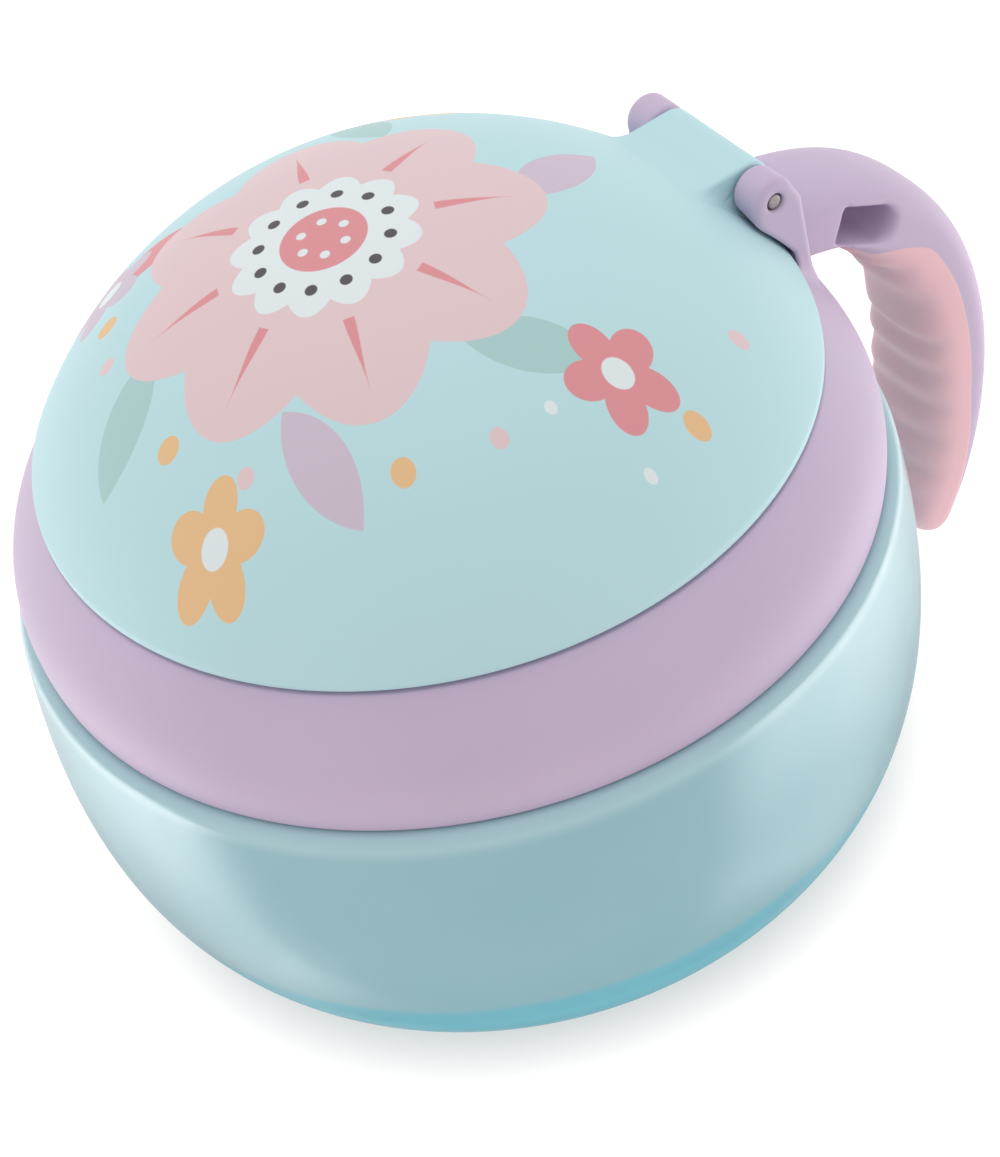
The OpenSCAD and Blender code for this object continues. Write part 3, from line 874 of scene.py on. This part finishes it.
def grip_rings():
    """Rings of the soft grip: side, ribbed crown, and back inside the strap."""
    stations = [(u, 0.0) for u in np.linspace(GRIP_FROM, 1, 12 * RIB_COUNT + 1)]
    stations += [(1.0, turn) for turn in np.linspace(0, 88, 16)[1:]]
    rings = []
    for u, turn in stations:
        half, depth = float(thickness(u)) / 2, float(grip_depth(u))
        c, s = math.cos(math.radians(turn)), math.sin(math.radians(turn))
        d = depth * np.linspace(1, 0, 80) ** 2
        margin = half - np.hypot((d - half) * c, half * s)
        radius = np.where(d < half, float(palm_round(u)), HANDLE_ROUND)
        near = np.clip(1 - margin / (radius - TIP_BLUNT * s), 0, 1)
        x = float(full_half_width(u)) * (1 - near ** HANDLE_SQUARE) ** (1 / HANDLE_SQUARE)
        x = x - 0.2 * (1 - np.minimum(1, (depth - d) / 0.35)) ** 2
        phase = RIB_COUNT * (u - GRIP_FROM) / (1 - GRIP_FROM)
        rise = RIB_H * (0.5 - 0.5 * math.cos(2 * math.pi * phase))
        lift = rise * c * (1 - ease(1.5 * d / depth))
        deep = (d - half) * c - lift
        length = np.concatenate([[0], np.cumsum(np.hypot(np.diff(x), np.diff(deep)))])
        at = np.linspace(0, length[-1], 31)
        x, deep = np.interp(at, length, x), np.interp(at, length, deep)
        x[-1] = 0
        centre = outer_face(u) - away(u) * half + outer_slope(u) * half * s
        side = np.column_stack([x, centre + deep[:, None] * away(u)])
        rings.append(np.concatenate([side, side[-2::-1] * [-1, 1, 1]]))
    return rings


# ---- Cover ----

def cover_outline():
    """The dome's shell from apex to rim, and its skirt."""
    edge_z = COVER_Z + COVER_EDGE_H
    lean = math.degrees(math.asin((edge_z - DOME_Z) / DOME_R))
    outer = arc([0, DOME_Z], DOME_R, 90, lean, 72)
    outer[0][0] = 0
    inner_r = DOME_R - COVER_WALL
    skirt_in = SKIRT_R - SKIRT_WALL
    join_z = DOME_Z + math.sqrt(inner_r ** 2 - skirt_in ** 2)
    inner_lean = math.degrees(math.asin((join_z - DOME_Z) / inner_r))
    inner = arc([0, DOME_Z], inner_r, inner_lean, 90, 60)
    inner[-1][0] = 0
    rim = [[COVER_R, COVER_Z], [SKIRT_R, COVER_Z], [SKIRT_R, SKIRT_Z], [skirt_in, SKIRT_Z]]
    return soften([*outer, *rim, *inner], COVER_EDGE)


def knuckle_field(x, y, z):
    """The hinge knuckle: a barrel round the pin, bridged and blended to the dome."""
    barrel = np.hypot(y - HINGE_Y, z - HINGE_Z) - BARREL_R
    bridge = np.maximum(np.abs(z - HINGE_Z) - BARREL_R, y - HINGE_Y)
    bridge = np.maximum(bridge, HINGE_Z - z)
    middle = 30
    reach = HINGE_Y + BARREL_R - 0.4 - middle
    block = np.maximum(np.abs(y - middle) - reach, z - HINGE_Z)
    block = np.maximum(block, COVER_Z + 0.1 - z)
    block = np.maximum(block, np.hypot(x, y) - COVER_R)
    profile = np.minimum(np.minimum(barrel, bridge), block)
    solid = rounded(profile, np.abs(x) - KNUCKLE_W / 2, KNUCKLE_EDGE)
    dome = np.maximum(dome_gap(x, y, z) + HIDDEN, np.hypot(x, y) - COVER_R + HIDDEN)
    body = join(solid, dome, KNUCKLE_FILLET)
    body = cut(body, np.hypot(y - HINGE_Y, z - HINGE_Z) - PIN_R - KNUCKLE_PIN_GAP, 0.1)
    hollow = dome_gap(x, y, z) + COVER_WALL - 0.3
    body = np.maximum(body, -hollow)
    return np.maximum(body, COVER_Z + 0.05 - z)


# ---- Flap insert ----

def flange_outline():
    """The outline of the insert's flange, with its raised seal inside the mouth."""
    top = FLANGE_Z + FLANGE_T
    return soften([[FLANGE_BORE_R, FLANGE_Z], [FLANGE_R, FLANGE_Z], [FLANGE_R, top],
                   [SEAL_R, top], [SEAL_R, SEAL_TOP_Z], [SEAL_R - SEAL_T, SEAL_TOP_Z],
                   [SEAL_R - SEAL_T, top], [FLANGE_BORE_R, top]], FLANGE_EDGE)


def petal(index):
    """One soft flap: a wedge with soft edges, thinner towards its tip."""
    half = math.pi / FLAP_COUNT
    turn = 2 * half * index
    c, s = math.cos(turn), math.sin(turn)
    across = np.linspace(-1, 1, 13)
    rings = []
    for share in np.linspace(0, 1, 25):
        r = FLAP_TIP_R + (FLAP_ROOT_R - FLAP_TIP_R) * share
        width = r * math.tan(half) - FLAP_SLIT
        round_off = math.sqrt(max(0.0, 1 - (1 - min(1.0, share * 9)) ** 2))
        width = max(0.15, width * round_off)
        thick = FLAP_T / 2 * (0.55 + 0.45 * ease(share * 1.5))
        soft = FLAP_EDGE / max(width, FLAP_EDGE)
        past = np.maximum(0, (np.abs(across) - 1 + soft) / soft)
        edge = np.sqrt(np.maximum(0.0, 1 - past ** 2))
        top = [(r, width * a, thick * e) for a, e in zip(across, edge)]
        under = [(r, width * a, -thick * e) for a, e in zip(across[::-1], edge[::-1])][1:-1]
        x, y, z = np.array(top + under).T
        rings.append(np.stack([x * c - y * s, x * s + y * c, z + FLAP_Z], -1))
    return tube(rings)


def pin():
    """The hinge pin, which lies along X."""
    outline = [[0, -PIN_HALF], [PIN_R, -PIN_HALF], [PIN_R, PIN_HALF], [0, PIN_HALF]]
    vertices, faces = lathe(soften(outline, PIN_EDGE), PIN_SEGMENTS)
    return vertices[:, [2, 1, 0]] + np.array([0, HINGE_Y, HINGE_Z]), faces


# ---- Build ----

def build_object():
    """Adds every piece, on its body and in place of its CAD node."""
    aqua_clear = cup_material()
    lilac = collar_material()
    aqua = cover_material()
    mint = insert_material()
    pink = grip_material()
    steel = pin_material()

    add_piece("cup_shell", [lathe(cup_outline()), *threads(NECK_R, 1, 0)], aqua_clear,
              "cup", ["cup"])
    ring = lathe(soften(collar_outline(), COLLAR_EDGE))
    add_piece("collar_band", [ring, *threads(BORE_R, -1, 60)], lilac, "lid", ["collar"])
    add_piece("ears_and_strap", [skin_of(hinge_and_handle_field, *EARS_BOX, EARS_CELL)],
              lilac, "lid", ["handle"], sharp=60)
    add_piece("soft_grip", [tube(grip_rings())], pink, "lid", ["handle_grip"], sharp=60)
    add_piece("dome_cover", [lathe(cover_outline())], aqua, "cover", ["cover"])
    add_piece("cover_knuckle", [skin_of(knuckle_field, *KNUCKLE_BOX, KNUCKLE_CELL)],
              aqua, "cover", sharp=60)
    add_piece("insert_flange", [lathe(flange_outline())], mint, "insert", ["flap_ring"])
    for k in range(FLAP_COUNT):
        add_piece(f"flap_petal_{k + 1}", [petal(k)], mint, f"flap_{k + 1}",
                  [f"flap_{k + 1}"], sharp=60)
    add_piece("steel_pin", [pin()], steel, "lid", ["hinge_pin"])


# ---- Camera, light and floor ----

CAMERA_AZIMUTH = 65.0
CAMERA_ELEVATION = 41.49
CAMERA_ROLL = 14.76
CAMERA_AWAY = 468.0
CAMERA_LENS = 121.6
LOOKS_AT = np.array([0.0, 0.0, 45.0])
AIM_RIGHT, AIM_DOWN = 5.72, 8.54
# Degrees from the camera's bearing to the middle of the gap between the cards
GAP_ASIDE = 16
PAPER = (0.33, 0.27, 0.25, 1)
PAPER_DARK, PAPER_LIGHT = (0.32, 0.26, 0.24, 1), (0.34, 0.28, 0.26, 1)
FLOOR_HALF = 3.0


def add_camera():
    """Looks at the object as the photograph does."""
    a, e, roll = (math.radians(v) for v in (CAMERA_AZIMUTH, CAMERA_ELEVATION, CAMERA_ROLL))
    back = Vector((math.sin(a) * math.cos(e), -math.cos(a) * math.cos(e), math.sin(e)))
    level_right = Vector((math.cos(a), math.sin(a), 0))
    level_up = back.cross(level_right)
    right = math.cos(roll) * level_right - math.sin(roll) * level_up
    up = math.sin(roll) * level_right + math.cos(roll) * level_up
    place = Vector(LOOKS_AT) + CAMERA_AWAY * back
    aim = Vector(LOOKS_AT) + AIM_RIGHT * right - AIM_DOWN * up
    back = (place - aim).normalized()
    right = up.cross(back).normalized()
    up = back.cross(right)
    data = bpy.data.cameras.new("camera")
    data.lens = CAMERA_LENS
    data.clip_start, data.clip_end = 0.01, 20
    camera = bpy.data.objects.new("camera", data)
    turn = Matrix((right, up, back)).transposed().to_4x4()
    camera.matrix_world = Matrix.Translation(place * MM) @ turn
    bpy.context.scene.collection.objects.link(camera)
    bpy.context.scene.camera = camera


# The way from the object to the camera, seen from above
FRONT = (math.sin(math.radians(CAMERA_AZIMUTH)), -math.cos(math.radians(CAMERA_AZIMUTH)))


def add_light(name, place, aim, size, power):
    data = bpy.data.lights.new(name, "AREA")
    data.shape = "DISK"
    data.size = size
    data.energy = power
    light = bpy.data.objects.new(name, data)
    light.location = place
    light.rotation_euler = (Vector(aim) - Vector(place)).to_track_quat("-Z", "Y").to_euler()
    bpy.context.scene.collection.objects.link(light)


def add_floor():
    """A light table: white paper that glows, less so far out in front, and less round the cup's
    foot, where the dip is a painted contact shadow.
    """
    mesh = bpy.data.meshes.new("floor")
    corners = [(FLOOR_HALF * x, FLOOR_HALF * y, 0) for x, y in ((-1, -1), (1, -1), (1, 1), (-1, 1))]
    mesh.from_pydata(corners, [], [(0, 1, 2, 3)])
    floor = bpy.data.objects.new("floor", mesh)
    floor.visible_glossy = False
    paper = Finish("white_paper", PAPER, 0.9)
    grain = paper.noise(2.0)
    paper.set("Base Color", paper.mix(grain, PAPER_DARK, PAPER_LIGHT))
    ahead = paper.x * FRONT[0] + paper.y * FRONT[1]
    away_from_foot = (paper.x * paper.x + paper.y * paper.y).do("SQRT")
    # The glow dips towards the cup's foot: a painted contact shadow on the floor
    glow_with_painted_shadow = paper.ramp(away_from_foot, 43, 55, 0.57, 0.88)
    paper.set("Emission Color", (1, 1, 1, 1))
    paper.set("Emission Strength", glow_with_painted_shadow * paper.ramp(ahead, 95, 240, 1.0, 0.45))
    mesh.materials.append(paper.material)
    bpy.context.scene.collection.objects.link(floor)


def add_surround():
    """A white surround, dimmer above in front, and below the horizon a pair of cards
    that the cup mirrors as bright panels at its sides."""
    world = bpy.data.worlds.new("studio")
    world.use_nodes = True
    tree = world.node_tree
    place = tree.nodes.new("ShaderNodeTexCoord").outputs["Generated"]

    def towards(way):
        node = tree.nodes.new("ShaderNodeVectorMath")
        node.operation = "DOT_PRODUCT"
        node.inputs[1].default_value = way
        tree.links.new(place, node.inputs[0])
        return Term(tree, node.outputs["Value"])

    forward = towards((0.95 * FRONT[0], 0.95 * FRONT[1], -0.3))
    above = ramp(tree, forward, 0.2, 0.95, 0.92, 0.56)
    height = towards((0, 0, 1))
    level = (height * height * -1 + 1).do("MAXIMUM", 0.0001).do("SQRT")
    bearing = towards((*FRONT, 0)) / level
    gap = math.radians(CAMERA_AZIMUTH - GAP_ASIDE)
    into_gap = towards((math.sin(gap), -math.cos(gap), 0)) / level
    beside_gap = ramp(tree, into_gap, 0.25, 0.5, 1.0, 0.1)
    dimmer_behind = ramp(tree, bearing, -0.98, 0.1, 0.35, 1.6)
    dark_underneath = ramp(tree, height, -0.95, -0.86, 0.12, 1.0)
    bright_low = ramp(tree, height, -0.8, -0.55, 1.0, 3.6)
    below = beside_gap * dimmer_behind * dark_underneath * bright_low
    over_horizon = ramp(tree, height, -0.06, -0.01)
    strength = below + (above - below) * over_horizon
    background = tree.nodes["Background"]
    background.inputs["Color"].default_value = (1, 1, 1, 1)
    feed(tree, background.inputs["Strength"], strength)
    bpy.context.scene.world = world


def add_studio():
    """The floor, the surround and one soft lamp from above."""
    add_floor()
    add_surround()
    add_light("top", (-0.3, 0.1, 1.4), (0, 0, 0.04), 1.6, 2)
    bpy.context.scene.view_settings.view_transform = "Standard"


add_camera()
add_studio()
build_object()
